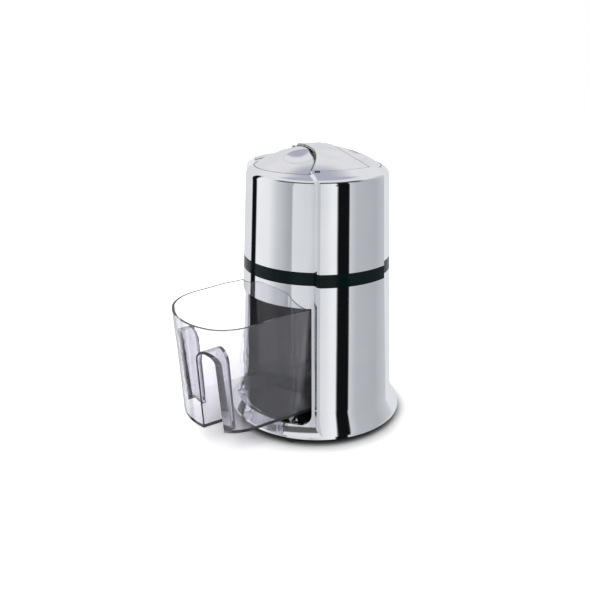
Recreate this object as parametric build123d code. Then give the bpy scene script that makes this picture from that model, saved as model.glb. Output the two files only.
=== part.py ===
from build123d import *
from math import asin, atan, atan2, cos, degrees, pi, radians, sin, sqrt, tan
import os

# Hand crank ice crusher. Millimetres, +Z up. The origin is on the body's axis in the plane that the
# feet stand on. The drawer pulls out along -Y. Azimuths are in degrees from -Y towards +X.

# ---- driving dimensions: housing ----
FOOT_HEIGHT = 6.0           # the flange's lower edge stands this far above the table
FLANGE_RADIUS = 79.2
FLANGE_EDGE = 2.2           # height of the flange's upright edge
FLARE_TOP = 31.0            # height where the flare meets the cone
BODY_RADIUS = 65.25         # outside radius at the middle of the joint band
CONE_TAPER = 0.045          # gain in radius per millimetre downwards
SASH_PROUD = 5.8            # the two raised side panels stand this far out of the cone
JOINT_Z = 147.0
BAND_LOW = 141.6
BAND_HIGH = 152.8
SHELL = 2.4                 # wall of the plated shells
CORE = 20.0                 # outlines of the shells start this far from the axis
SHOULDER_Z = 226.5          # where the cone turns in to the mouth
SHOULDER_FILLET = 7.0
MOUTH_RADIUS = 54.9
MOUTH_Z = 230.3
SASH_SHOULDER_Z = 228.0
SASH_MOUTH_RADIUS = 56.5
SASH_MOUTH_Z = 234.0
SASH_FILLET = 8.0
SASH_BEVEL = 1.5            # depth of the bevel along the sash's edges
SASH_SIDES = (84.0, 79.0)   # azimuths that its near and far side planes run out along
BEVEL_TURN = 30.0           # the bevel turns from the side plane by this much
# azimuths where side plane and bevel meet, at the lowest and highest level of each shell
LOWER_SASH = ((55.4, 54.7), (112.7, 109.7))
UPPER_SASH = ((54.5, 54.1), (109.4, 108.9))

# ---- driving dimensions: drawer opening and drawer ----
SILL_Z = 16.5
SKIRT_Z = 121.9
OPENING_FILLET = 9.0
OPENING_SIDE = (52.0, 50.9)  # azimuths of the opening's edge at the sill and at the skirt
OPENING_RUN = 53.0          # azimuth that the opening's sides run out along
DRAWER_OUT = 68.0           # how far the drawer is pulled out at rest
DRAWER_Z = (23.0, 121.0)
DRAWER_HALF_WIDTH = 50.6    # at the rim
DRAWER_FRONT = 68.9         # radius of the front, about the body's axis with the drawer in
DRAWER_BACK = 61.0
DRAWER_DRAFT = 3.2          # degrees
DRAWER_WALL = 2.2
DRAWER_FLOOR = 2.4
FRONT_CORNER = 35.0
BACK_CORNER = 9.0
RIM_FALL = 0.065            # the rim falls towards the front by this much per millimetre
DRAWER_PLAY = 0.8           # between the drawer's sides and the opening
FLUTE_CENTRE = 27.0         # finger flutes, to each side of the drawer's middle
FLUTE_WIDTH = 17.0
FLUTE_DEPTH = 18.0          # behind the edge of the ridge that is gripped between them
FLUTE_TOP = 95.0
RAIL_X = 41.0
RAIL_HALF = 2.0
RAIL_Y = (-56.0, 44.0)
STOP_Y = (56.4, 59.4)
DECK_Z = (13.9, 16.4)
DECK_RADIUS = 67.5
DECK_RING = (60.4, 62.6)    # ring that stands on the bottom cover

# ---- driving dimensions: bottom cover, feet and screws ----
COVER_Z = (6.4, 8.8)
COVER_RADIUS = 76.4
COVER_RING = (65.2, 67.8)
COVER_RING_Z = 11.3
FEET = (38, 142, -38, -142)  # azimuths
FOOT_CIRCLE = 71.3
FOOT_RADIUS = 5.4
FOOT_STEM = 2.5
COVER_SCREWS = (45, 135, -45, -135)
COVER_SCREW_CIRCLE = 52.0
POST_RADIUS = 4.0
MILL_SCREWS = (80, 100, -80, -100)
MILL_SCREW_CIRCLE = 60.5
BOSS_RADIUS = 3.6
BOSS_LOW = 112.0
COLLAR = (63.0, 72.5)       # seat inside the flare that the deck rests on
COLLAR_Z = (11.4, 13.8)
SCREW_CORE = 1.5

# ---- driving dimensions: lid, crank head and folding arm ----
CAP_RADIUS = 54.4
CAP_APEX = 246.1
CAP_EDGE_Z = 230.3
CAP_LOW = 225.2
CAP_WALL = 2.6
ARM_AZIMUTH = 76.0
ARM_APEX = 247.6            # top of the arm over the body's axis
ARM_END = 55.8              # reach of the folded arm's end from the axis
ARM_END_Z = 233.8
ARM_HALVES = (10.2, 11.3, 25.8)  # half width at the hinge, where the flare begins and at the corner
ARM_FLARE = (14.0, 49.5)    # how far along the arm the flare begins and ends
ARM_SINK = 3.2              # the arm is let this far into the cap
HINGE_BACK = 19.0           # hinge pin behind the body's axis
HINGE_Z = 241.0
KNUCKLE_RADIUS = 5.1
PIN_RADIUS = 1.5
EAR_RADIUS = 3.6            # lugs that hold the hinge pin, and their inner and outer faces
EAR_ASIDE = (11.5, 15.5)
LANDING_Z = 233.8           # flat behind the hinge, which clears the arm when it is folded out
KNOB_ALONG = 30.6
KNOB_RADIUS = 9.5
KNOB_Z = (217.6, 237.9)
SPINDLE_RADIUS = 2.5
SPINDLE_TOP = 240.6
WELL_ALONG = (20.4, 47.0)   # ends of the knob's well
KNOB_PLAY = 1.6             # round the knob in its well
SCOOP_ALONG = 19.5
SCOOP_ASIDE = 22.5
SCOOP_RADIUS = 14.8
SCOOP_DEPTH = 4.6
DISH_RADIUS = 12.8
DISH_DEPTH = 1.3
LUGS = (54, 234)            # azimuths of the lugs that key the lid to the body
LUG_WIDTH = 3.4
LANDING_HALF = 16.9
BOSS_SHAFT = 9.5            # radius of the cap's middle post on the hub
FIT = 0.06                  # radial running clearance of shafts and pins

# ---- driving dimensions: mill ----
THROAT_RADIUS = 44.0
MILL_TOP = 157.6
MILL_FLANGE_TOP = 127.0
MILL_RING = 58.4
BLADE_SEAT = 52.2
SPIDER_HALF = 3.5
SPIDER_HUB = 11.5
BUSH_RADIUS = 8.0
LEDGE_RADIUS = 60.0
LEDGE_THICK = 2.1
SHAFT_RADIUS = 5.0
HEX_ACROSS = 9.0
SOCKET_ACROSS = 9.3
HUB_RADIUS = 7.0
BLADE = 3.0                 # thickness of every blade
FIXED_BLADE_Z = 148.5
LOWER_BLADE_Z = 143.5
UPPER_BLADE_Z = 153.5
BUSH_SHOULDER_Z = 138.5
SPIDER_Z = (128.0, 137.0)
LINER_INSIDE = (43.8, 52.2)  # inside radius at the throat and at the mouth
LINER_Z = (163.0, 206.0, 221.6)
LINER_WALL = 2.2
LINER_RIM = 58.7
SHAFT_Z = (124.6, 187.0)
HEX_Z = (184.0, 199.0)
BORE_Z = (188.0, 214.6)     # the hub's hollow stem
SOCKET_DEPTH = 15.0
CLIP_Z = (201.3, 202.6)
CLIP_GROOVE = 6.1
HUB_SCREW = 2.0
PAN_Z = (210.5, 224.7)      # underside of the pan's floor and top of its rim
PAN_RADIUS = 51.4
PAN_WALL = 2.5
PAN_SIDE = 2.0
PAN_LUG = 58.2

PARTS = {}


def toward(azimuth, radius, z=0.0):
    """Point at a radius from the body's axis."""
    a = radians(azimuth)
    return Vector(radius * sin(a), -radius * cos(a), z)


def around(azimuths, radius):
    """Plan points at several azimuths on a circle about the body's axis."""
    points = [toward(azimuth, radius) for azimuth in azimuths]
    return [(p.X, p.Y) for p in points]


def cone_radius(z, proud=0.0):
    return BODY_RADIUS + proud + CONE_TAPER * (JOINT_Z - z)


def disc(radius, low, high, bore=0.0, centre=(0, 0)):
    """Upright cylinder or ring between two heights."""
    place = Pos(centre[0], centre[1], low)
    upright = (Align.CENTER, Align.CENTER, Align.MIN)
    body = place * Cylinder(radius, high - low, align=upright)
    if bore:
        body -= place * Cylinder(bore, high - low, align=upright)
    return body


def block(low, high):
    """Box between two corners."""
    size = [b - a for a, b in zip(low, high)]
    return Pos(*low) * Box(*size, align=(Align.MIN, Align.MIN, Align.MIN))


def turned(points, fillets=()):
    """Solid of revolution of an outline in (radius, height); fillets are (corner, radius) pairs."""
    face = make_face(Polyline(*[(r, 0, z) for r, z in points], close=True))
    for corner, radius in fillets:
        r, z = points[corner]
        vertex = face.vertices().sort_by_distance((r, 0, z))[0]
        face = fillet(vertex, radius)
    return revolve(face, Axis.Z)


def prism(points, low, high):
    """Upright prism of a plan outline."""
    face = make_face(Polyline(*[(x, y, low) for x, y in points], close=True))
    return extrude(face, high - low, dir=(0, 0, 1))


def along_arm(solid):
    """Turns what is drawn with the arm towards -Y to the arm's azimuth."""
    return Rot(0, 0, ARM_AZIMUTH) * solid


# ---- housing ----

def lower_edges(*levels):
    """Azimuths of the lower shell's two sash edges at some heights."""
    rows = []
    for low, high in LOWER_SASH:
        rows.append([low + (high - low) * (z - FOOT_HEIGHT) / (BAND_LOW - FOOT_HEIGHT) for z in levels])
    return rows


def sash_side(azimuth, side, z, inset):
    """Plan points of one side of a sash: far inside, at the foot of its bevel, far outside."""
    way = 1 if side == 0 else -1
    run = SASH_SIDES[side]
    foot = toward(azimuth, cone_radius(z, SASH_PROUD - SASH_BEVEL) - inset)
    foot += toward(run + way * 90, inset)
    return [foot - toward(run, 45), foot, foot + toward(run + way * BEVEL_TURN, 30)]


def sash_wedge(low, high, edges, inset=0.0):
    """Wedge that limits the +X sash between its two leaning, bevelled sides."""
    rings = []
    for k, z in enumerate((low, high)):
        near = sash_side(edges[0][k], 0, z, inset)
        far = sash_side(edges[1][k], 1, z, inset)
        corners = [(p.X, p.Y, z) for p in near + far[::-1]]
        rings.append(make_face(Polyline(*corners, close=True)))
    return loft(rings, ruled=True)


def both_sides(solid):
    return solid + mirror(solid, about=Plane.YZ)


def band_of_body(low, high, edges, inset):
    """The body between two heights on its cone, sashes included, inset by a wall."""
    plain = turned([(0, low), (cone_radius(low) - inset, low), (cone_radius(high) - inset, high), (0, high)])
    sash = turned([(30, low), (cone_radius(low, SASH_PROUD) - inset, low),
                   (cone_radius(high, SASH_PROUD) - inset, high), (30, high)])
    return plain + both_sides(sash & sash_wedge(low, high, edges, inset))


def flare(proud, inset):
    """Foot of the body: flange edge, hollow flare and cone up to the joint band."""
    top = cone_radius(FLARE_TOP, proud)
    out = FLANGE_RADIUS - top
    drop = FLARE_TOP - FOOT_HEIGHT - FLANGE_EDGE
    bend = (out ** 2 + drop ** 2) / (2 * out)
    centre = top + bend
    radius = bend + inset
    rim = FLANGE_RADIUS - inset
    start = atan2(-sqrt(radius ** 2 - (centre - rim) ** 2), rim - centre)
    middle = (start - pi) / 2
    foot = (rim, 0, FOOT_HEIGHT)
    edge = (rim, 0, FLARE_TOP + radius * sin(start))
    waist = (centre + radius * cos(middle), 0, FLARE_TOP + radius * sin(middle))
    neck = (top - inset, 0, FLARE_TOP)
    head = (cone_radius(BAND_LOW, proud) - inset, 0, BAND_LOW)
    outline = [
        Line((CORE, 0, FOOT_HEIGHT), foot),
        Line(foot, edge),
        ThreePointArc(edge, waist, neck),
        Line(neck, head),
        Line(head, (CORE, 0, BAND_LOW)),
        Line((CORE, 0, BAND_LOW), (CORE, 0, FOOT_HEIGHT)),
    ]
    return revolve(make_face(outline), Axis.Z)


def lower_body(inset):
    sash = flare(SASH_PROUD, inset) & sash_wedge(FOOT_HEIGHT, BAND_LOW, LOWER_SASH, inset)
    return flare(0.0, inset) + both_sides(sash) + disc(CORE + 10, FOOT_HEIGHT, BAND_LOW)


def drawer_opening():
    """The cut between the two sashes, with rounded lower corners."""
    rings = []
    for azimuth, z in zip(OPENING_SIDE, (SILL_Z, SKIRT_Z)):
        edge = toward(azimuth, cone_radius(z))
        inner = edge - toward(OPENING_RUN, 45)
        outer = edge + toward(OPENING_RUN, 30)
        half = [(inner.X, inner.Y), (outer.X, outer.Y), (outer.X, -95.0)]
        corners = half + [(-x, y) for x, y in reversed(half)]
        rings.append(make_face(Polyline(*[(x, y, z) for x, y in corners], close=True)))
    cut = loft(rings, ruled=True)
    slanted = [e for e in cut.edges().filter_by_position(Axis.Z, SILL_Z - 0.1, SILL_Z + 0.1)
               if abs((e @ 1 - e @ 0).X) > 5 and abs((e @ 1 - e @ 0).Y) > 5]
    return fillet(slanted, OPENING_FILLET)


def lower_housing():
    shell = lower_body(0.0) - lower_body(SHELL)
    top = SKIRT_Z + LEDGE_THICK
    ledge = band_of_body(SKIRT_Z, top, lower_edges(SKIRT_Z, top), SHELL / 2)
    ledge -= disc(LEDGE_RADIUS, SKIRT_Z, top)
    collar = disc(COLLAR[1], *COLLAR_Z, bore=COLLAR[0])
    shell += ledge + (collar & lower_body(SHELL / 2))
    for place in around(MILL_SCREWS, MILL_SCREW_CIRCLE):
        shell += disc(BOSS_RADIUS, BOSS_LOW, top, centre=place)
    shell -= drawer_opening()
    path = DRAWER_HALF_WIDTH + DRAWER_PLAY
    shell -= block((-path, -90, SILL_Z + OPENING_FILLET), (path, 0, SKIRT_Z))
    for place in around(MILL_SCREWS, MILL_SCREW_CIRCLE):
        shell -= disc(SCREW_CORE, BOSS_LOW + 1.5, top, centre=place)
    return shell


def upper_profile(proud, corner_z, mouth_radius, mouth_z, radius):
    """Outside of the upper shell: cone, rounded shoulder and the slope up past the mouth."""
    corner = cone_radius(corner_z, proud)
    inner = mouth_radius - 4.0
    inner_z = mouth_z + 4.0 * (mouth_z - corner_z) / (corner - mouth_radius)
    points = [(30, BAND_HIGH), (cone_radius(BAND_HIGH, proud), BAND_HIGH), (corner, corner_z),
              (inner, inner_z), (30, inner_z)]
    return turned(points, fillets=[(2, radius)])


def upper_hollow(proud, corner_z, throat_radius, throat_z):
    points = [(0, BAND_HIGH), (cone_radius(BAND_HIGH, proud) - SHELL, BAND_HIGH),
              (cone_radius(corner_z, proud) - SHELL, corner_z - 5.5),
              (cone_radius(corner_z, proud) - SHELL - 1.6, corner_z - 1.5),
              (throat_radius, throat_z), (0, throat_z)]
    return turned(points)


def upper_housing():
    top = SASH_MOUTH_Z + 5.0
    wedge = sash_wedge(BAND_HIGH, top, UPPER_SASH)
    sash = upper_profile(SASH_PROUD, SASH_SHOULDER_Z, SASH_MOUTH_RADIUS, SASH_MOUTH_Z, SASH_FILLET)
    sash -= disc(SASH_MOUTH_RADIUS, MOUTH_Z, top)
    outside = upper_profile(0.0, SHOULDER_Z, MOUTH_RADIUS, MOUTH_Z, SHOULDER_FILLET)
    outside += both_sides(sash & wedge)
    inner_wedge = sash_wedge(BAND_HIGH, top, UPPER_SASH, SHELL)
    inner_sash = upper_hollow(SASH_PROUD, SASH_SHOULDER_Z, 60.6, 228.2)
    hollow = upper_hollow(0.0, SHOULDER_Z, 56.8, 226.4) + both_sides(inner_sash & inner_wedge)
    hollow += disc(MOUTH_RADIUS, BAND_HIGH, top)
    half = LUG_WIDTH / 2 + 0.4
    for azimuth in LUGS:
        hollow += Rot(0, 0, azimuth) * block((-half, -58.8, 220.9), (half, -50.0, 240.0))
    return outside - hollow


def band_ring():
    edges = ((LOWER_SASH[0][1], UPPER_SASH[0][0]), (LOWER_SASH[1][1], UPPER_SASH[1][0]))
    ring = band_of_body(BAND_LOW, BAND_HIGH, edges, 0.0)
    lip = SHELL + 0.2
    ring += band_of_body(BAND_LOW - 5, BAND_HIGH + 5, edges, lip)
    return ring - band_of_body(BAND_LOW - 6, BAND_HIGH + 6, edges, lip + 2.0)


def drawer_deck():
    """Floor under the drawer with its two rails and the posts that the bottom cover's screws reach."""
    low, top = DECK_Z
    deck = disc(DECK_RADIUS, low, top)
    deck += disc(DECK_RING[1], COVER_Z[1] + 0.1, low, bore=DECK_RING[0])
    for side in (-1, 1):
        middle = side * RAIL_X
        rail = block((middle - RAIL_HALF, RAIL_Y[0], top), (middle + RAIL_HALF, RAIL_Y[1], DRAWER_Z[0] - 0.15))
        rail = chamfer(rail.faces().sort_by(Axis.Y)[0].edges().sort_by(Axis.Z)[-1:], 4.5)
        deck += rail
    for place in around(COVER_SCREWS, COVER_SCREW_CIRCLE):
        deck += disc(POST_RADIUS, COVER_Z[1] + 0.1, low, centre=place)
        deck -= disc(SCREW_CORE, COVER_Z[1] + 0.1, low + 1.1, centre=place)
    stop = block((-12, STOP_Y[0], top), (12, STOP_Y[1], 30))
    return deck + stop


def base_plate():
    low, top = COVER_Z
    plate = turned([(0, low), (COVER_RADIUS, low), (COVER_RADIUS, low + 0.5), (COVER_RADIUS - 2, top), (0, top)])
    plate += disc(COVER_RING[1], top, COVER_RING_Z, bore=COVER_RING[0])
    for place in around(COVER_SCREWS, COVER_SCREW_CIRCLE):
        plate -= disc(SCREW_CORE + 0.4, low, top, centre=place)
    for place in around(FEET, FOOT_CIRCLE):
        plate -= disc(FOOT_STEM, low, top, centre=place)
    return plate


def rubber_feet():
    """Four moulded feet, each with a stem and a barb pushed through the bottom cover."""
    low, top = COVER_Z
    outline = [(0, 0), (FOOT_RADIUS - 0.7, 0), (FOOT_RADIUS, 0.8), (FOOT_RADIUS, low), (FOOT_STEM, low),
               (FOOT_STEM, top), (FOOT_STEM + 0.6, top), (FOOT_STEM - 0.5, top + 2), (0, top + 2)]
    return Compound([Pos(x, y, 0) * turned(outline) for x, y in around(FEET, FOOT_CIRCLE)])


def pan_head_screw(shank, head, head_z, tip_z):
    """Screw along Z with a domed head that faces away from its tip."""
    way = 1 if head_z > tip_z else -1
    outline = [(0, tip_z), (shank * 0.4, tip_z), (shank, tip_z + way * shank), (shank, head_z),
               (head, head_z), (head, head_z + way * 0.8), (head * 0.6, head_z + way * 1.9),
               (head * 0.35, head_z + way * 1.9), (0, head_z + way * 0.9)]
    return turned(outline)


def base_screws():
    screw = pan_head_screw(SCREW_CORE, 3.2, COVER_Z[0], DECK_Z[0] + 0.6)
    return Compound([Pos(x, y, 0) * screw for x, y in around(COVER_SCREWS, COVER_SCREW_CIRCLE)])


def mill_screws():
    screw = pan_head_screw(SCREW_CORE, 2.9, MILL_FLANGE_TOP, BOSS_LOW + 2)
    return Compound([Pos(x, y, 0) * screw for x, y in around(MILL_SCREWS, MILL_SCREW_CIRCLE)])


# ---- mill ----

def mill_body():
    """Casting that carries the fixed blades and, on three arms, the shaft's lower bearing."""
    seat = SKIRT_Z + LEDGE_THICK
    low, high = SPIDER_Z
    flange = band_of_body(seat, MILL_FLANGE_TOP, lower_edges(seat, MILL_FLANGE_TOP), SHELL + 0.4)
    flange -= disc(THROAT_RADIUS, seat, MILL_FLANGE_TOP)
    ring = disc(MILL_RING, MILL_FLANGE_TOP, MILL_TOP, bore=THROAT_RADIUS)
    ring -= disc(BLADE_SEAT, FIXED_BLADE_Z, MILL_TOP)
    body = flange + ring
    for k in range(3):
        arm = block((-SPIDER_HALF, -THROAT_RADIUS - 1, low), (SPIDER_HALF, 0, high))
        crown = Pos(0, -26, high) * Rot(0, 45, 0) * Box(2.6, 60, 2.6)
        away = SPIDER_HALF + 1.6
        body += Rot(0, 0, 60 + 120 * k) * (arm - Pos(away, 0, 0) * crown - Pos(-away, 0, 0) * crown)
    body += disc(SPIDER_HUB, low, high)
    body -= disc(BUSH_RADIUS, low, high)
    for place in around(MILL_SCREWS, MILL_SCREW_CIRCLE):
        body -= disc(SCREW_CORE + 0.2, seat, MILL_FLANGE_TOP, centre=place)
        body -= disc(3.3, MILL_FLANGE_TOP, MILL_FLANGE_TOP + 4, centre=place)
    return body


def lower_bush():
    bore = SHAFT_RADIUS + FIT
    return disc(BUSH_RADIUS, *SPIDER_Z, bore=bore) + disc(10.8, SPIDER_Z[1], BUSH_SHOULDER_Z - 0.1, bore=bore)


def fixed_blades():
    """One steel ring with four teeth bars; each bar has a saw edge that faces the rotor's claws."""
    plate = disc(BLADE_SEAT - 0.3, FIXED_BLADE_Z, FIXED_BLADE_Z + BLADE, bore=THROAT_RADIUS)
    inner, outer, teeth = 13.0, THROAT_RADIUS + 1.0, 5
    pitch = (outer - 4 - inner) / teeth
    edge = [(-4.0, -outer), (-3.0, -inner)]
    edge.append((3.0, -inner))
    for k in range(teeth):
        start = inner + k * pitch
        edge.append((7.0, -(start + 0.35 * pitch)))
        edge.append((3.6, -(start + pitch)))
    edge.append((5.5, -outer))
    for k in range(4):
        plate += Rot(0, 0, 20 + 90 * k) * prism(edge, FIXED_BLADE_Z, FIXED_BLADE_Z + BLADE)
    return plate


def rotor_blade(z, turn, reach, hooks):
    """Steel rotor blade with two swept claws; the leading edge of each claw is hooked."""
    blade = disc(13.0, z, z + BLADE)
    root, start = 5.5, 9.0
    pitch = (reach - start - 5) / hooks
    edge = [(-root, -start)]
    for k in range(hooks):
        near = start + k * pitch
        far = near + pitch
        edge.append((-root - 3.2 + 0.06 * far, -(near + 0.75 * pitch)))
        edge.append((-root + 0.3 + 0.06 * far, -far))
    edge += [(-1.5, -reach), (3.5, -reach + 1.5), (root, -start)]
    for k in range(2):
        blade += Rot(0, 0, turn + 180 * k) * prism(edge, z, z + BLADE)
    return blade - disc(SHAFT_RADIUS, z, z + BLADE)


def rotor_shaft():
    """Round shaft with a collar under the blades and a hexagon that enters the crank's socket."""
    low, high = HEX_Z
    shaft = disc(SHAFT_RADIUS, *SHAFT_Z)
    shaft += disc(BUSH_RADIUS, BUSH_SHOULDER_Z, LOWER_BLADE_Z)
    face = Pos(0, 0, low) * RegularPolygon(HEX_ACROSS / 2, 6, major_radius=False)
    hexagon = extrude(face, high - low)
    hexagon &= turned([(0, low), (6, low), (6, high - 1.2), (4.2, high), (0, high)])
    return shaft + hexagon


def blade_spacer():
    low = LOWER_BLADE_Z + BLADE
    waist = (low + UPPER_BLADE_Z) / 2
    body = turned([(0, low), (8.5, low), (7.2, waist), (8.5, UPPER_BLADE_Z), (0, UPPER_BLADE_Z)])
    return body - disc(SHAFT_RADIUS, low, UPPER_BLADE_Z)


def blade_nut():
    low = UPPER_BLADE_Z + BLADE
    nut = extrude(Pos(0, 0, low) * RegularPolygon(8.5, 6, major_radius=False), 6.0)
    nut &= turned([(0, low), (10.2, low), (10.2, low + 4.4), (8.2, low + 6.0), (0, low + 6.0)])
    return nut - disc(SHAFT_RADIUS, low, low + 6.0)


def hopper_liner():
    """Funnel from the lid's seat to the throat, clamped on the fixed blades."""
    foot = FIXED_BLADE_Z + BLADE
    throat, mouth = LINER_INSIDE
    knee, top, rim = LINER_Z
    outline = [(throat, foot), (throat + 8, foot), (throat + 8, foot + 2.5), (throat + 2.8, foot + 2.5),
               (throat + 2.8, knee), (mouth + LINER_WALL, top), (mouth + LINER_WALL, rim - LINER_WALL),
               (LINER_RIM, rim - LINER_WALL), (LINER_RIM, rim), (mouth, rim), (mouth, top + 0.5),
               (throat, knee - 0.5)]
    return turned(outline)


# ---- lid ----

def lid_pan():
    """Dished pan that closes the hopper and hangs the crank's bearing from the lid's rim."""
    floor, rim = PAN_Z
    inner, outer = PAN_RADIUS - PAN_SIDE, PAN_RADIUS + 3
    low = floor - 7
    outline = [(BOSS_SHAFT, low), (BOSS_SHAFT + 3.5, low), (BOSS_SHAFT + 3.5, floor), (PAN_RADIUS - 3, floor),
               (PAN_RADIUS, floor + 3), (PAN_RADIUS, rim - 3), (outer, rim - 3), (outer, rim),
               (inner, rim), (inner, floor + PAN_WALL), (BOSS_SHAFT, floor + PAN_WALL)]
    pan = turned(outline)
    half = LUG_WIDTH / 2
    tip = PAN_LUG
    for azimuth in LUGS:
        lug = block((-half, -tip, rim - 2.8), (half, -PAN_RADIUS - 2, rim))
        lug += block((-half, -tip, rim), (half, -CAP_RADIUS - 0.7, rim + 5.5))
        lug += block((-half, -tip, rim + 5.5), (half, -CAP_RADIUS - 1.9, rim + 7.9))
        pan += Rot(0, 0, azimuth) * lug
    for k in range(6):
        rib = block((-1.2, 3.4 - PAN_RADIUS, floor - 3), (1.2, -BOSS_SHAFT - 3, floor))
        pan += Rot(0, 0, 30 + 60 * k) * rib
    return pan


def lid_bush():
    bore = HUB_RADIUS + FIT
    low = PAN_Z[0] - 7
    top = PAN_Z[0] + PAN_WALL
    return disc(BOSS_SHAFT, low, top, bore=bore) + disc(12.5, top, top + 1.5, bore=bore)


def drive_hub():
    """Stem with the hexagon socket, its clip groove and the flange that the cap is screwed on."""
    low, top = BORE_Z
    hub = disc(HUB_RADIUS, low, top) + disc(HUB_RADIUS + 4.5, top, top + 2.8)
    hub -= disc(HUB_RADIUS, CLIP_Z[0] - 0.1, CLIP_Z[1] + 0.1, bore=CLIP_GROOVE)
    face = Pos(0, 0, low) * RegularPolygon(SOCKET_ACROSS / 2, 6, major_radius=False)
    return hub - extrude(face, SOCKET_DEPTH) - disc(HUB_SCREW, low, top + 4)


def hub_clip():
    """Retaining clip in the hub's groove, open to one side."""
    clip = disc(10.2, *CLIP_Z, bore=CLIP_GROOVE + 0.05)
    return clip - block((-4.6, 3.0, CLIP_Z[0]), (4.6, 12, CLIP_Z[1]))


def hub_screw():
    return pan_head_screw(HUB_SCREW, 3.6, BORE_Z[0] + SOCKET_DEPTH - 0.1, 236.0)


def cap_centre_z():
    rise = CAP_APEX - CAP_EDGE_Z
    return CAP_APEX - (CAP_RADIUS ** 2 + rise ** 2) / (2 * rise)


def cap_height(radius):
    """Height of the cap's outside at a radius."""
    centre = cap_centre_z()
    return centre + sqrt((CAP_APEX - centre) ** 2 - radius ** 2)


def dome(sink, radius, low=CAP_LOW):
    """Everything under the cap's sphere, sunk by a depth, inside a radius."""
    centre = cap_centre_z()
    ball = Pos(0, 0, centre) * Sphere(CAP_APEX - centre - sink)
    return ball & disc(radius, low, CAP_APEX + 5)


def arm_plan(grow, low, high, front=None):
    """Plan of the arm, drawn towards -Y: nearly straight sides that flare to its outer end."""
    hinge, waist, corner = [half + grow for half in ARM_HALVES]
    start, end = ARM_FLARE
    rise = ARM_HALVES[2] - ARM_HALVES[1]
    bend = (rise ** 2 + (end - start) ** 2) / (2 * rise) - grow
    turn = asin((end - start) / (bend + grow)) / 2
    middle = (waist + bend * (1 - cos(turn)), -start - bend * sin(turn), low)
    tip = (waist + bend * (1 - cos(2 * turn)), -start - bend * sin(2 * turn), low)
    right = [
        Line((hinge, HINGE_BACK, low), (waist, -start, low)),
        ThreePointArc((waist, -start, low), middle, tip),
        Line(tip, (tip[0] + 12, -70, low)),
    ]
    left = [mirror(edge, about=Plane.YZ) for edge in right]
    ends = [
        Line((-hinge, HINGE_BACK, low), (hinge, HINGE_BACK, low)),
        Line((-tip[0] - 12, -70, low), (tip[0] + 12, -70, low)),
    ]
    return extrude(make_face(right + left + ends), high - low, dir=(0, 0, 1))


def scoops(grow):
    """Two round dimples beside the arm, where fingers reach under its edges."""
    centre_z = cap_centre_z()
    ball = CAP_APEX - centre_z
    sag = SCOOP_RADIUS ** 2 / (2 * ball)
    cutter = SCOOP_RADIUS ** 2 / (2 * (SCOOP_DEPTH - sag))
    away = sqrt(SCOOP_ALONG ** 2 + SCOOP_ASIDE ** 2)
    tilt = away / ball
    reach = ball - SCOOP_DEPTH + cutter
    shapes = []
    for side in (-1, 1):
        azimuth = side * degrees(atan2(SCOOP_ASIDE, SCOOP_ALONG))
        place = toward(azimuth, reach * tilt, centre_z + reach * sqrt(1 - tilt ** 2))
        shapes.append(Pos(place) * Sphere(cutter + grow))
    return shapes


def knob_pocket(grow):
    """Well under the arm that takes the knob and clears its swing."""
    half = KNOB_RADIUS + KNOB_PLAY + grow
    low = KNOB_Z[0] - 1.4 - grow
    near, far = WELL_ALONG
    well = block((-half, -far - grow, low), (half, -near + grow, CAP_APEX + 5))
    return fillet(well.edges().filter_by(Axis.Z), 7.0 + grow)


def across_arm(radius, length):
    """Cylinder on the hinge's axis."""
    return Pos(0, HINGE_BACK, HINGE_Z) * Rot(0, 90, 0) * Cylinder(radius, length)


def crank_dome():
    """Domed cap with the arm's recess, its landing, the finger scoops and the knob's well."""
    inner, outer = EAR_ASIDE
    below, above = CAP_LOW - 25, CAP_APEX + 14
    recess = arm_plan(0.4, below, above) - dome(ARM_SINK + 0.3, 70, 190)
    landing = block((-LANDING_HALF, 15, LANDING_Z), (LANDING_HALF, 60, above))
    shape = dome(0, CAP_RADIUS)
    hollow = dome(CAP_WALL, CAP_RADIUS - 2.2, 200) - dome(60, CAP_RADIUS, 190)
    hollow -= disc(BOSS_SHAFT, below, above)
    hollow -= arm_plan(2.2, below, above) - dome(ARM_SINK + 2.7, 70, 190)
    hollow -= block((-LANDING_HALF - 1.8, 9, LANDING_Z - 2.4), (LANDING_HALF + 1.8, 60, above))
    hollow -= across_arm(KNUCKLE_RADIUS + 2.8, 2 * inner + 5)
    hollow -= knob_pocket(1.5)
    for dimple in scoops(2.2):
        hollow -= dimple
    shape += disc(BOSS_SHAFT, BORE_Z[1] + 2.8, CAP_LOW + 10)
    shape += knob_pocket(1.5) & disc(60, KNOB_Z[0] - 3, CAP_LOW + 2)
    shape -= hollow
    shape -= recess
    shape -= landing
    shape -= across_arm(KNUCKLE_RADIUS + 0.6, 2 * inner)
    shape -= knob_pocket(0.0)
    for dimple in scoops(0.0):
        shape -= dimple
    ears = across_arm(EAR_RADIUS, 2 * outer)
    ears += block((-outer, HINGE_BACK - EAR_RADIUS, LANDING_Z - 1), (outer, HINGE_BACK + EAR_RADIUS, HINGE_Z))
    ears -= block((-inner, 0, LANDING_Z - 2), (inner, 40, above))
    shape += ears
    shape -= across_arm(PIN_RADIUS, 60)
    shape -= disc(HUB_SCREW, 210, 238)
    return along_arm(shape)


def hinge_pin():
    return along_arm(across_arm(PIN_RADIUS, 2 * EAR_ASIDE[1]))


def arm_crown(radius):
    rise = ARM_APEX - ARM_END_Z
    ball = (ARM_END ** 2 + rise ** 2) / (2 * rise)
    return ARM_APEX - ball, ball


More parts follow.
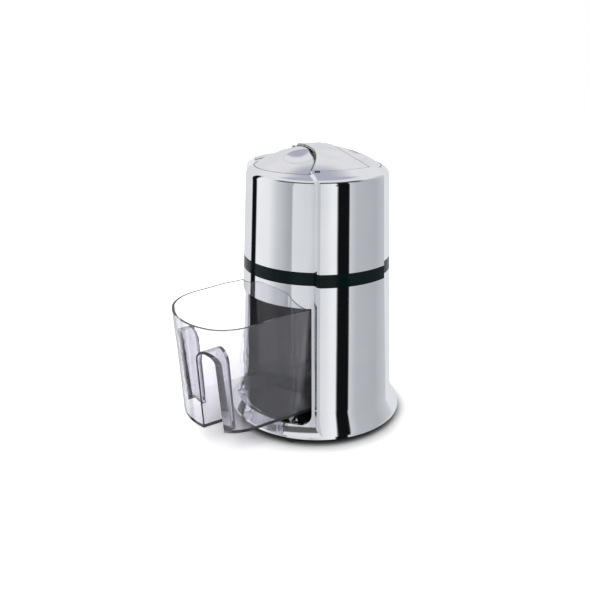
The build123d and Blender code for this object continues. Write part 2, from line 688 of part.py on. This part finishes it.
def crank_arm():
    """Flared arm with a crowned top, a thumb dish and a knuckle round the hinge pin."""
    crown_z, crown = arm_crown(ARM_END)
    knob = (0, -KNOB_ALONG)
    below, above = CAP_LOW - 25, CAP_APEX + 14
    arm = arm_plan(0.0, below, above) & disc(ARM_END, below, above)
    arm &= Pos(0, 0, crown_z) * Sphere(crown)
    arm -= dome(ARM_SINK, 70, 150)
    arm -= disc(70, below, CAP_EDGE_Z + 0.6, bore=CAP_RADIUS - 0.5)
    arm += across_arm(KNUCKLE_RADIUS, 2 * ARM_HALVES[0])
    ball = (DISH_RADIUS ** 2 + DISH_DEPTH ** 2) / (2 * DISH_DEPTH)
    top = crown_z + sqrt(crown ** 2 - KNOB_ALONG ** 2)
    lean = KNOB_ALONG / crown
    rise = ball * (1 - lean ** 2 / 2) - DISH_DEPTH
    arm -= Pos(0, -KNOB_ALONG - lean * ball, top + rise) * Sphere(ball)
    arm -= across_arm(PIN_RADIUS + FIT, 60)
    arm -= disc(SPINDLE_RADIUS, 230, SPINDLE_TOP, centre=knob)
    arm -= disc(KNOB_RADIUS - 1, 230, KNOB_Z[1] + 0.3, centre=knob)
    return along_arm(arm)


def knob_spindle():
    knob = (0, -KNOB_ALONG)
    foot = KNOB_Z[0] + 2
    pin = disc(SPINDLE_RADIUS, foot, SPINDLE_TOP, centre=knob) + disc(4.6, KNOB_Z[0] + 0.4, foot, centre=knob)
    return along_arm(pin)


def grip_knob():
    low, high = KNOB_Z
    bore = SPINDLE_RADIUS + FIT
    outline = [(bore, low + 2.3), (4.9, low + 2.3), (4.9, low), (7.6, low), (KNOB_RADIUS, low + 2.4),
               (KNOB_RADIUS, low + 6.0), (7.4, low + 11.4), (6.6, high - 1.0), (6.0, high), (bore, high)]
    return along_arm(Pos(0, -KNOB_ALONG, 0) * turned(outline))


# ---- drawer ----

def drawer_outline(z, inset):
    """Plan of the drawer at one height: round front and back, straight sides, rounded corners."""
    shrink = (DRAWER_Z[1] - z) * tan(radians(DRAWER_DRAFT)) + inset
    half = DRAWER_HALF_WIDTH - shrink
    front = DRAWER_FRONT - shrink
    back = DRAWER_BACK - shrink
    front_y = -sqrt(front ** 2 - half ** 2)
    back_y = sqrt(back ** 2 - half ** 2)
    edges = [
        Line((half, back_y, z), (half, front_y, z)),
        ThreePointArc((half, front_y, z), (0, -front, z), (-half, front_y, z)),
        Line((-half, front_y, z), (-half, back_y, z)),
        ThreePointArc((-half, back_y, z), (0, back, z), (half, back_y, z)),
    ]
    face = make_face(edges)
    corners = face.vertices().sort_by(Axis.Y)
    face = fillet(corners[:2], FRONT_CORNER - inset)
    corners = [v for v in face.vertices() if v.Y > back_y - 0.01 and abs(abs(v.X) - half) < 0.01]
    return fillet(corners, BACK_CORNER - inset)


def drawer_solid(low, high, inset):
    return loft([drawer_outline(low, inset), drawer_outline(high, inset)], ruled=True)


def finger_flutes(grow):
    """Two upright flutes with arched tops; the ridge between them is the pull."""
    half = FLUTE_WIDTH / 2 + grow
    base = DRAWER_Z[0] - 5
    spring = FLUTE_TOP + grow - half
    ridge = FLUTE_CENTRE - FLUTE_WIDTH / 2
    edges = [
        Line((-half, 0, base), (half, 0, base)),
        Line((half, 0, base), (half, 0, spring)),
        ThreePointArc((half, 0, spring), (0, 0, spring + half), (-half, 0, spring)),
        Line((-half, 0, spring), (-half, 0, base)),
    ]
    arch = extrude(make_face(edges), 60, dir=(0, -1, 0))
    floor_y = -sqrt(DRAWER_FRONT ** 2 - ridge ** 2) + FLUTE_DEPTH + grow
    cutters = []
    for side in (-1, 1):
        lean = Pos(side * FLUTE_CENTRE, floor_y, DRAWER_Z[1]) * Rot(DRAWER_DRAFT, 0, 0)
        cutters.append(lean * Pos(0, 0, -DRAWER_Z[1]) * arch)
    return cutters


def ice_drawer():
    low, high = DRAWER_Z
    outside = drawer_solid(low, high, 0.0)
    inside = drawer_solid(low + DRAWER_FLOOR, high + 1, DRAWER_WALL)
    for flute in finger_flutes(0.0):
        outside -= flute
    for flute in finger_flutes(DRAWER_WALL):
        inside -= flute
    tray = outside - inside
    tray -= Pos(0, 0, high) * Rot(degrees(atan(RIM_FALL)), 0, 0) * block((-60, -90, 0), (60, 0, 20))
    return Pos(0, -DRAWER_OUT, 0) * tray


def build():
    PARTS["lower_housing"] = lower_housing()
    PARTS["upper_housing"] = upper_housing()
    PARTS["band_ring"] = band_ring()
    PARTS["drawer_deck"] = drawer_deck()
    PARTS["base_plate"] = base_plate()
    PARTS["rubber_feet"] = rubber_feet()
    PARTS["base_screws"] = base_screws()
    PARTS["mill_body"] = mill_body()
    PARTS["mill_screws"] = mill_screws()
    PARTS["lower_bush"] = lower_bush()
    PARTS["fixed_blades"] = fixed_blades()
    PARTS["hopper_liner"] = hopper_liner()
    PARTS["rotor_shaft"] = rotor_shaft()
    PARTS["lower_blade"] = rotor_blade(LOWER_BLADE_Z, 50, 42.0, 4)
    PARTS["blade_spacer"] = blade_spacer()
    PARTS["upper_blade"] = rotor_blade(UPPER_BLADE_Z, 140, 40.0, 3)
    PARTS["blade_nut"] = blade_nut()
    PARTS["lid_pan"] = lid_pan()
    PARTS["lid_bush"] = lid_bush()
    PARTS["crank_dome"] = crank_dome()
    PARTS["drive_hub"] = drive_hub()
    PARTS["hub_screw"] = hub_screw()
    PARTS["hub_clip"] = hub_clip()
    PARTS["hinge_pin"] = hinge_pin()
    PARTS["crank_arm"] = crank_arm()
    PARTS["knob_spindle"] = knob_spindle()
    PARTS["grip_knob"] = grip_knob()
    PARTS["ice_drawer"] = ice_drawer()


build()
os.makedirs("parts", exist_ok=True)
for node, shape in PARTS.items():
    export_step(shape, "parts/" + node + ".step")
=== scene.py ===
import bpy
import math
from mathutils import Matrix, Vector

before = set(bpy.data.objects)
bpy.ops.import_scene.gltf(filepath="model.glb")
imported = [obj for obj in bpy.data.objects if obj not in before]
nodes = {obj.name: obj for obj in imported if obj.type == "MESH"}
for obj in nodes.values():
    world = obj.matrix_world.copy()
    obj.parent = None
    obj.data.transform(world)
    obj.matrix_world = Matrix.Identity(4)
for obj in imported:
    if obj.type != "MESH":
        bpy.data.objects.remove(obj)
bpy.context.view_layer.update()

# ---- view: the photograph's standpoint ----
CAMERA_PLACE = (0.4838, -0.3515, 0.325)  # metres
CAMERA_HEADING = 55.85                   # degrees from +Y towards -X
CAMERA_DROP = 19.74                      # degrees below the horizon
LENS = 42.16                             # millimetres, as the sensor is
SENSOR = 36.0

# ---- studio: what the plating mirrors; heights are sines of the elevation ----
FLAG = 0.006                       # grey of the two dark flags and of the rail
WALL_STOPS = (                     # (degrees from -Y towards +X, grey)
    (-180.0, 0.80), (-125.0, 0.74), (-69.6, 0.78), (-68.6, FLAG), (-55.4, FLAG), (-54.4, 0.90),
    (-26.0, 0.86), (-10.0, 0.62), (12.0, 0.42), (15.5, 0.44), (17.0, 0.74), (43.0, 0.70),
    (50.0, 0.56), (60.0, 0.70), (76.0, 0.90), (82.4, 0.90), (83.2, FLAG), (99.8, FLAG),
    (100.8, 0.64), (112.0, 0.50), (145.0, 0.46), (172.0, 0.62), (180.0, 0.80),
)
WALL_TINT = (0.99, 0.995, 1.01)    # red, green and blue of a light wall, as shares of its grey
WALL_COOLING = (-0.06, 0.0, 0.08)  # what a wall gains of them as it darkens to black
COVE = (0.79, 0.79, 0.815)         # pale band above the walls
COVE_RISE = (0.42, 0.60)           # heights over which the walls turn into it
CEILING = (0.44, 0.45, 0.53)
CEILING_RISE = (0.80, 0.93)        # heights over which the cove turns into it
RAIL_START = (0.38, 0.43)          # heights over which the dark rail comes in
RAIL_END = (0.66, 0.61)            # heights over which it comes in from above
RAIL_DEPTH = 0.85                  # how much of the room it hides
RAIL_REACH = (0.1, 0.4)            # share of a direction along FRONT over which it comes in
FRONT = (0.81, -0.59, 0.0)         # level, from the object to the photograph's standpoint
DAYLIGHT = 0.72                    # level of the world on matt surfaces
LAMPS = (                          # (name, place and width in metres, watts)
    ("key", (0.9, -1.1, 1.5), 1.2, 9.0),
    ("fill", (-1.2, -0.4, 1.3), 1.4, 5.0),
)

# ---- floor ----
FLOOR_WIDTH = 6.0
PAPER_EXPOSURE = 1.8               # what the camera sees of the paper, over its true reflectance
PAINTED_SHADOW_REACH = 0.022              # how far out from the flange a painted shadow darkens the paper
PAINTED_SHADOW_DEPTH = 1.6                # power that deepens this painted shadow

# ---- finishes ----
NOISE_MIDDLE = (0.3, 0.7)          # most of a noise's values lie between these
OCCLUSION_SAMPLES = 16
BARE_GREY = (0.030, 0.032, 0.034)  # moulding plastic where it isn't plated
BARE_ROUGHNESS = 0.5
BARE_TOP = 0.218                   # the plating reaches this far down inside the lid's mouth
BARE_BLUR = 0.001                  # and fades out over this height
BARE_TURN = (-0.86, -0.76)         # bare up to the first, plated from the second; -1 faces the axis
SEAM_SHADE_REACH = 0.0035                # painted shade darkens the plating this near to a gap or an inside corner
SEAM_SHADE_DARK = 0.10
SEAM_SHADE_OPEN = (0.45, 0.92)           # openness at which the painted shade is darkest and from which it is gone
EDGE_SHADE_REACH = 0.0012                # painted shade darkens the plating this near to an outside edge of the crank head
EDGE_SHADE_DARK = 0.12
EDGE_SHADE_OPEN = (0.66, 0.97)           # openness at which the painted edge shade is darkest and from which it is gone


def opaque(colour):
    return (*colour, 1.0)


def grey(level):
    return (level, level, level, 1.0)


# ---- nodes ----

class NodeTree:
    """Short ways to add nodes to a material or to the world."""

    def __init__(self, tree):
        self.tree = tree

    def add(self, kind, **settings):
        node = self.tree.nodes.new(kind)
        for key, value in settings.items():
            setattr(node, key, value)
        return node

    def feed(self, socket, value):
        """Links an output to the socket, or sets the socket to a constant."""
        if isinstance(value, bpy.types.NodeSocket):
            self.tree.links.new(value, socket)
        else:
            socket.default_value = value

    def maths(self, operation, first, second):
        node = self.add("ShaderNodeMath", operation=operation)
        self.feed(node.inputs[0], first)
        self.feed(node.inputs[1], second)
        return node.outputs["Value"]

    def vectors(self, operation, first, second=None):
        """Vector maths; SCALE takes a number as its second value, and DOT_PRODUCT gives one."""
        node = self.add("ShaderNodeVectorMath", operation=operation)
        self.feed(node.inputs[0], first)
        if second is not None:
            self.feed(node.inputs["Scale" if operation == "SCALE" else 1], second)
        return node.outputs["Value" if operation == "DOT_PRODUCT" else "Vector"]

    def split(self, vector):
        node = self.add("ShaderNodeSeparateXYZ")
        self.feed(node.inputs["Vector"], vector)
        return node.outputs

    def span(self, source, start, end, low=0.0, high=1.0, kind="LINEAR"):
        """From low to high as the source goes from start to end."""
        node = self.add("ShaderNodeMapRange", interpolation_type=kind)
        self.feed(node.inputs["Value"], source)
        self.feed(node.inputs["From Min"], start)
        self.feed(node.inputs["From Max"], end)
        self.feed(node.inputs["To Min"], low)
        self.feed(node.inputs["To Max"], high)
        return node.outputs["Result"]

    def blend(self, kind, first, second, share):
        """The first value, which turns into the second as the share goes from 0 to 1."""
        node = self.add("ShaderNodeMix", data_type=kind)
        self.feed(node.inputs["A"], first)
        self.feed(node.inputs["B"], second)
        self.feed(node.inputs["Factor"], share)
        return node.outputs["Result"]

    def blend_shaders(self, first, second, share):
        node = self.add("ShaderNodeMixShader")
        self.feed(node.inputs["Fac"], share)
        self.feed(node.inputs[1], first)
        self.feed(node.inputs[2], second)
        return node.outputs["Shader"]


class Shader(NodeTree):
    """A material, with its surface, its output and the place and normal that patterns read."""

    def __init__(self, name):
        self.material = bpy.data.materials.new(name)
        self.material.use_nodes = True
        super().__init__(self.material.node_tree)
        self.surface = self.tree.nodes["Principled BSDF"]
        self.output = self.tree.nodes["Material Output"]
        coordinates = self.add("ShaderNodeTexCoord")
        self.place = coordinates.outputs["Object"]
        self.normal = coordinates.outputs["Normal"]

    def set(self, **sockets):
        """Constant values on the surface's own sockets; an underscore stands for a space."""
        for key, value in sockets.items():
            self.surface.inputs[key.replace("_", " ")].default_value = value
        return self

    def feeding(self, name):
        """What is linked to that socket of the surface so far."""
        return self.surface.inputs[name].links[0].from_socket

    def stretched(self, scale):
        mapping = self.add("ShaderNodeMapping")
        self.feed(mapping.inputs["Scale"], scale)
        self.feed(mapping.inputs["Vector"], self.place)
        return mapping.outputs["Vector"]

    def noise(self, scale, detail=3.0, stretch=None):
        node = self.add("ShaderNodeTexNoise")
        self.feed(node.inputs["Scale"], scale)
        self.feed(node.inputs["Detail"], detail)
        self.feed(node.inputs["Vector"], self.stretched(stretch) if stretch else self.place)
        return node.outputs["Fac"]

    def tint(self, source, dark, light):
        ramp = self.add("ShaderNodeValToRGB")
        for stop, position, colour in zip(ramp.color_ramp.elements, NOISE_MIDDLE, (dark, light)):
            stop.position = position
            stop.color = opaque(colour)
        self.feed(ramp.inputs["Fac"], source)
        self.feed(self.surface.inputs["Base Color"], ramp.outputs["Color"])
        return self

    def rough(self, source, low, high):
        self.feed(self.surface.inputs["Roughness"], self.span(source, *NOISE_MIDDLE, low, high))
        return self

    def relief(self, source, depth):
        bump = self.add("ShaderNodeBump")
        self.feed(bump.inputs["Strength"], 1.0)
        self.feed(bump.inputs["Distance"], depth)
        self.feed(bump.inputs["Height"], source)
        self.feed(self.surface.inputs["Normal"], bump.outputs["Normal"])
        return self

    def bare_inside(self):
        """Leaves the faces that look at the object's axis unplated, up to just under the lid."""
        outward = self.vectors("NORMALIZE", self.vectors("MULTIPLY", self.place, (1.0, 1.0, 0.0)))
        turned_out = self.span(self.vectors("DOT_PRODUCT", outward, self.normal), *BARE_TURN)
        near_lid = self.span(self.split(self.place)["Z"], BARE_TOP - BARE_BLUR, BARE_TOP)
        plated = self.maths("MAXIMUM", turned_out, near_lid)
        colour = self.blend("RGBA", opaque(BARE_GREY), self.feeding("Base Color"), plated)
        roughness = self.blend("FLOAT", BARE_ROUGHNESS, self.feeding("Roughness"), plated)
        self.feed(self.surface.inputs["Base Color"], colour)
        self.feed(self.surface.inputs["Roughness"], roughness)
        self.feed(self.surface.inputs["Metallic"], plated)
        return self

    def openness(self, reach, inside=False):
        """Low where other faces are near, outside the wall or inside it, and 1 in the open."""
        node = self.add("ShaderNodeAmbientOcclusion", samples=OCCLUSION_SAMPLES, inside=inside)
        self.feed(node.inputs["Distance"], reach)
        return node.outputs["AO"]

    def dim(self, share):
        """Scales the colour so far."""
        dimmed = self.vectors("SCALE", self.feeding("Base Color"), share)
        self.feed(self.surface.inputs["Base Color"], dimmed)
        return self

    def painted_seam_shade(self):
        """Paints shade into gaps and inside corners: darkens the colour where other faces are near."""
        return self.dim(self.span(self.openness(SEAM_SHADE_REACH), *SEAM_SHADE_OPEN, SEAM_SHADE_DARK, 1.0))

    def edges(self):
        """Paints a dark line along each outside edge: painted shade and dark reflection where the
        surface turns away.
        """
        openness = self.openness(EDGE_SHADE_REACH, inside=True)
        return self.dim(self.span(openness, *EDGE_SHADE_OPEN, EDGE_SHADE_DARK, 1.0))


# ---- finishes of the pieces ----

def bright_plating():
    """Mirror plating on moulded plastic: a little wavy, faintly hazed by wiping, bare on the inside."""
    shader = Shader("bright_plating")
    haze = shader.noise(scale=34.0, detail=4.0)
    shader.tint(haze, dark=(0.90, 0.905, 0.92), light=(0.94, 0.945, 0.955))
    shader.rough(haze, low=0.02, high=0.05)
    shader.bare_inside()
    return shader.relief(shader.noise(scale=26.0, detail=1.0), depth=0.00006).material


def deck_plating():
    """Plating on the drawer's deck, scuffed by the drawer that slides on it."""
    shader = Shader("deck_plating").set(Metallic=1.0)
    scuffs = shader.noise(scale=1.0, stretch=(900.0, 60.0, 60.0))
    shader.tint(scuffs, dark=(0.84, 0.845, 0.865), light=(0.92, 0.925, 0.94))
    shader.rough(scuffs, low=0.04, high=0.12)
    return shader.relief(scuffs, depth=0.00001).material


def lid_plating():
    """Plating on the crank head, softened by handling, with painted shade in its seam lines and a
    painted dark line along each outside edge.
    """
    shader = Shader("lid_plating").set(Metallic=1.0)
    haze = shader.noise(scale=60.0, detail=4.0)
    shader.tint(haze, dark=(0.88, 0.88, 0.895), light=(0.93, 0.93, 0.94))
    shader.rough(haze, low=0.05, high=0.10)
    # painted shade in the seam lines and a painted dark line along each outside edge
    shader.painted_seam_shade().edges()
    return shader.relief(shader.noise(scale=30.0, detail=1.0), depth=0.00005).material


def black_band():
    """Gloss black lacquer with a green cast, dull enough to stay dark."""
    shader = Shader("black_band").set(Specular_IOR_Level=0.12)
    cloud = shader.noise(scale=45.0)
    shader.tint(cloud, dark=(0.001, 0.006, 0.006), light=(0.003, 0.009, 0.009))
    shader.rough(cloud, low=0.12, high=0.20)
    return shader.relief(shader.noise(scale=30.0, detail=1.0), depth=0.00004).material


def clear_drawer():
    """Clear moulded plastic; light that runs along a wall comes out violet grey."""
    shader = Shader("clear_drawer").set(Transmission_Weight=0.975, IOR=1.49)
    flow = shader.noise(scale=14.0, detail=2.0)
    shader.tint(flow, dark=(0.90, 0.895, 0.92), light=(0.92, 0.915, 0.94))
    shader.rough(shader.noise(scale=70.0, detail=4.0), low=0.012, high=0.045)
    depth = shader.add("ShaderNodeVolumeAbsorption")
    shader.feed(depth.inputs["Color"], opaque((0.50, 0.45, 0.92)))
    shader.feed(depth.inputs["Density"], 8.0)
    shader.feed(shader.output.inputs["Volume"], depth.outputs["Volume"])
    return shader.relief(flow, depth=0.00012).material


def grained_plastic(name, dark, light, low, high, grain=0.00005):
    """Moulded plastic; low and high are its roughness, and grain is how deep its texture is."""
    shader = Shader(name).set(Specular_IOR_Level=0.4)
    shader.tint(shader.noise(scale=90.0), dark, light)
    shader.rough(shader.noise(scale=240.0, detail=2.0), low, high)
    return shader.relief(shader.noise(scale=1400.0, detail=2.0), grain).material


def inside_plastic():
    """Dark grey plastic of the mill, the funnel and the bottom cover."""
    return grained_plastic("inside_plastic", dark=(0.028, 0.030, 0.032), light=(0.046, 0.048, 0.050),
                           low=0.42, high=0.60)


def ground_steel():
    """Stamped stainless steel with fine grinding lines."""
    shader = Shader("ground_steel").set(Metallic=1.0, Anisotropic=0.4)
    lines = shader.noise(scale=1.0, stretch=(90.0, 2600.0, 2600.0))
    shader.tint(lines, dark=(0.50, 0.50, 0.52), light=(0.68, 0.68, 0.69))
    shader.rough(lines, low=0.20, high=0.38)
    return shader.relief(lines, depth=0.00003).material


def bearing_plastic():
    """Cream plastic of the bushes."""
    return grained_plastic("bearing_plastic", dark=(0.62, 0.61, 0.56), light=(0.72, 0.71, 0.66),
                           low=0.35, high=0.50)


def knob_plastic():
    """Black plastic of the knob, smoother than the rest."""
    return grained_plastic("knob_plastic", dark=(0.010, 0.010, 0.012), light=(0.020, 0.020, 0.022),
                           low=0.22, high=0.34, grain=0.00002)


def foot_rubber():
    """Dull black rubber with a moulded grain."""
    shader = Shader("foot_rubber").set(Specular_IOR_Level=0.25)
    shader.tint(shader.noise(scale=200.0), dark=(0.008, 0.009, 0.009), light=(0.022, 0.023, 0.023))
    shader.rough(shader.noise(scale=420.0), low=0.62, high=0.80)
    return shader.relief(shader.noise(scale=900.0), depth=0.00008).material


WORN_BY = (
    (bright_plating, ("lower_housing", "upper_housing", "lid_pan")),
    (deck_plating, ("drawer_deck",)),
    (lid_plating, ("crank_dome", "crank_arm")),
    (black_band, ("band_ring",)),
    (clear_drawer, ("ice_drawer",)),
    (inside_plastic, ("mill_body", "hopper_liner", "base_plate")),
    (ground_steel, ("fixed_blades", "rotor_shaft", "lower_blade", "upper_blade", "blade_spacer",
                    "blade_nut", "hub_screw", "hub_clip", "hinge_pin", "knob_spindle",
                    "base_screws", "mill_screws", "drive_hub")),
    (bearing_plastic, ("lower_bush", "lid_bush")),
    (knob_plastic, ("grip_knob",)),
    (foot_rubber, ("rubber_feet",)),
)


def dress(piece, finish):
    piece.data.materials.clear()
    piece.data.materials.append(finish)


for make_finish, names in WORN_BY:
    finish = make_finish()
    for name in names:
        dress(nodes[name], finish)


# ---- studio ----

def wall_colour(level):
    """The wall's grey at that level, bluer the darker it is."""
    return [level * (tint + cooling * (1.0 - level)) for tint, cooling in zip(WALL_TINT, WALL_COOLING)]


def walls_around(room, x, y):
    """The walls' greys all the way round, with the two dark flags."""
    azimuth = room.maths("ARCTAN2", x, room.maths("MULTIPLY", y, -1.0))
    walls = room.add("ShaderNodeValToRGB")
    stops = walls.color_ramp.elements
    stops.remove(stops[1])
    for number, (angle, level) in enumerate(WALL_STOPS):
        position = angle / 360.0 + 0.5
        stop = stops[0] if number == 0 else stops.new(position)
        stop.position = position
        stop.color = opaque(wall_colour(level))
    room.feed(walls.inputs["Fac"], room.span(azimuth, -math.pi, math.pi))
    return walls.outputs["Color"]


def mirrored_room(room):
    """What the plating mirrors: walls, a pale cove, a grey ceiling and a dark rail on one side."""
    direction = room.add("ShaderNodeTexCoord").outputs["Generated"]
    x, y, height = room.split(direction)

    def ease(source, start, end):
        return room.span(source, start, end, kind="SMOOTHSTEP")

    colour = walls_around(room, x, y)
    colour = room.blend("RGBA", colour, opaque(COVE), ease(height, *COVE_RISE))
    colour = room.blend("RGBA", colour, opaque(CEILING), ease(height, *CEILING_RISE))
    rail = room.maths("MULTIPLY", ease(height, *RAIL_START), ease(height, *RAIL_END))
    near_front = ease(room.vectors("DOT_PRODUCT", direction, FRONT), *RAIL_REACH)
    rail = room.maths("MULTIPLY", room.maths("MULTIPLY", rail, near_front), RAIL_DEPTH)
    return room.blend("RGBA", colour, grey(FLAG), rail)


def studio_world():
    """White for the camera and through clear plastic, plain light for matt surfaces, a room for gloss.

    A ray that goes through the drawer after it has met a mirror sees the room, as the mirror does.
    """
    world = bpy.data.worlds.new("studio")
    bpy.context.scene.world = world
    world.use_nodes = True
    room = NodeTree(world.node_tree)
    room.tree.nodes.clear()

    def glow(colour):
        node = room.add("ShaderNodeBackground")
        room.feed(node.inputs["Color"], colour)
        return node.outputs["Background"]

    ray = room.add("ShaderNodeLightPath").outputs
    before_mirror = room.span(ray["Glossy Depth"], 1.0, 0.0)
    after_mirror = room.span(ray["Glossy Depth"], 0.0, 1.0)
    clear = room.maths("MAXIMUM", ray["Is Camera Ray"], ray["Is Transmission Ray"])
    sees_white = room.maths("MULTIPLY", clear, before_mirror)
    behind_clear = room.maths("MULTIPLY", ray["Is Transmission Ray"], after_mirror)
    sees_room = room.maths("MAXIMUM", ray["Is Glossy Ray"], behind_clear)
    light = room.blend_shaders(glow(grey(DAYLIGHT)), glow(mirrored_room(room)), sees_room)
    seen = room.blend_shaders(light, glow(grey(1.0)), sees_white)
    room.feed(room.add("ShaderNodeOutputWorld").inputs["Surface"], seen)


def soft_lamp(name, place, width, watts):
    """A square lamp aimed at the object, hidden from mirrors and from rays through clear plastic."""
    lamp = bpy.data.lights.new(name, "AREA")
    lamp.shape = "SQUARE"
    lamp.size = width
    lamp.energy = watts
    holder = bpy.data.objects.new(name, lamp)
    bpy.context.scene.collection.objects.link(holder)
    holder.location = place
    holder.rotation_euler = (-Vector(place)).to_track_quat("-Z", "Y").to_euler()
    holder.visible_glossy = False
    holder.visible_transmission = False


def floor_paint():
    """Pale paper, which the camera sees exposed to white except close to the flange, where its real
    shade is deepened by a painted contact shadow.

    A ray that has met a mirror goes through it, as the plating doesn't mirror the floor.
    """
    shader = Shader("floor_paint").set(Specular_IOR_Level=0.0, Roughness=0.9)
    shader.tint(shader.noise(scale=3.0), dark=(0.93, 0.93, 0.93), light=(0.95, 0.95, 0.95))
    # painted contact shadow: the paper's colour darkens where the flange is near
    openness = shader.maths("POWER", shader.openness(PAINTED_SHADOW_REACH), PAINTED_SHADOW_DEPTH)
    exposure_and_painted_shadow = shader.maths("MULTIPLY", openness, PAPER_EXPOSURE)
    ray = shader.add("ShaderNodeLightPath").outputs
    seen = shader.maths("MAXIMUM", ray["Is Camera Ray"], ray["Is Transmission Ray"])
    shader.dim(shader.blend("FLOAT", 1.0, exposure_and_painted_shadow, seen))
    after_mirror = shader.span(ray["Glossy Depth"], 0.0, 1.0)
    nothing = shader.add("ShaderNodeBsdfTransparent").outputs["BSDF"]
    paper = shader.blend_shaders(shader.surface.outputs["BSDF"], nothing, after_mirror)
    shader.feed(shader.output.inputs["Surface"], paper)
    return shader.material


def pale_floor():
    bpy.ops.object.select_all(action="DESELECT")
    bpy.ops.mesh.primitive_plane_add(size=FLOOR_WIDTH, location=(0, 0, 0))
    floor = bpy.context.object
    floor.name = "floor"
    floor.data.materials.append(floor_paint())
    floor.visible_glossy = False


def camera():
    data = bpy.data.cameras.new("camera")
    data.lens = LENS
    data.sensor_width = SENSOR
    holder = bpy.data.objects.new("camera", data)
    bpy.context.scene.collection.objects.link(holder)
    heading, drop = math.radians(CAMERA_HEADING), math.radians(CAMERA_DROP)
    level = math.cos(drop)
    aim = Vector((-math.sin(heading) * level, math.cos(heading) * level, -math.sin(drop)))
    holder.location = CAMERA_PLACE
    holder.rotation_euler = aim.to_track_quat("-Z", "Y").to_euler()
    bpy.context.scene.camera = holder


studio_world()
for lamp in LAMPS:
    soft_lamp(*lamp)
pale_floor()
camera()
bpy.context.scene.view_settings.view_transform = "Standard"
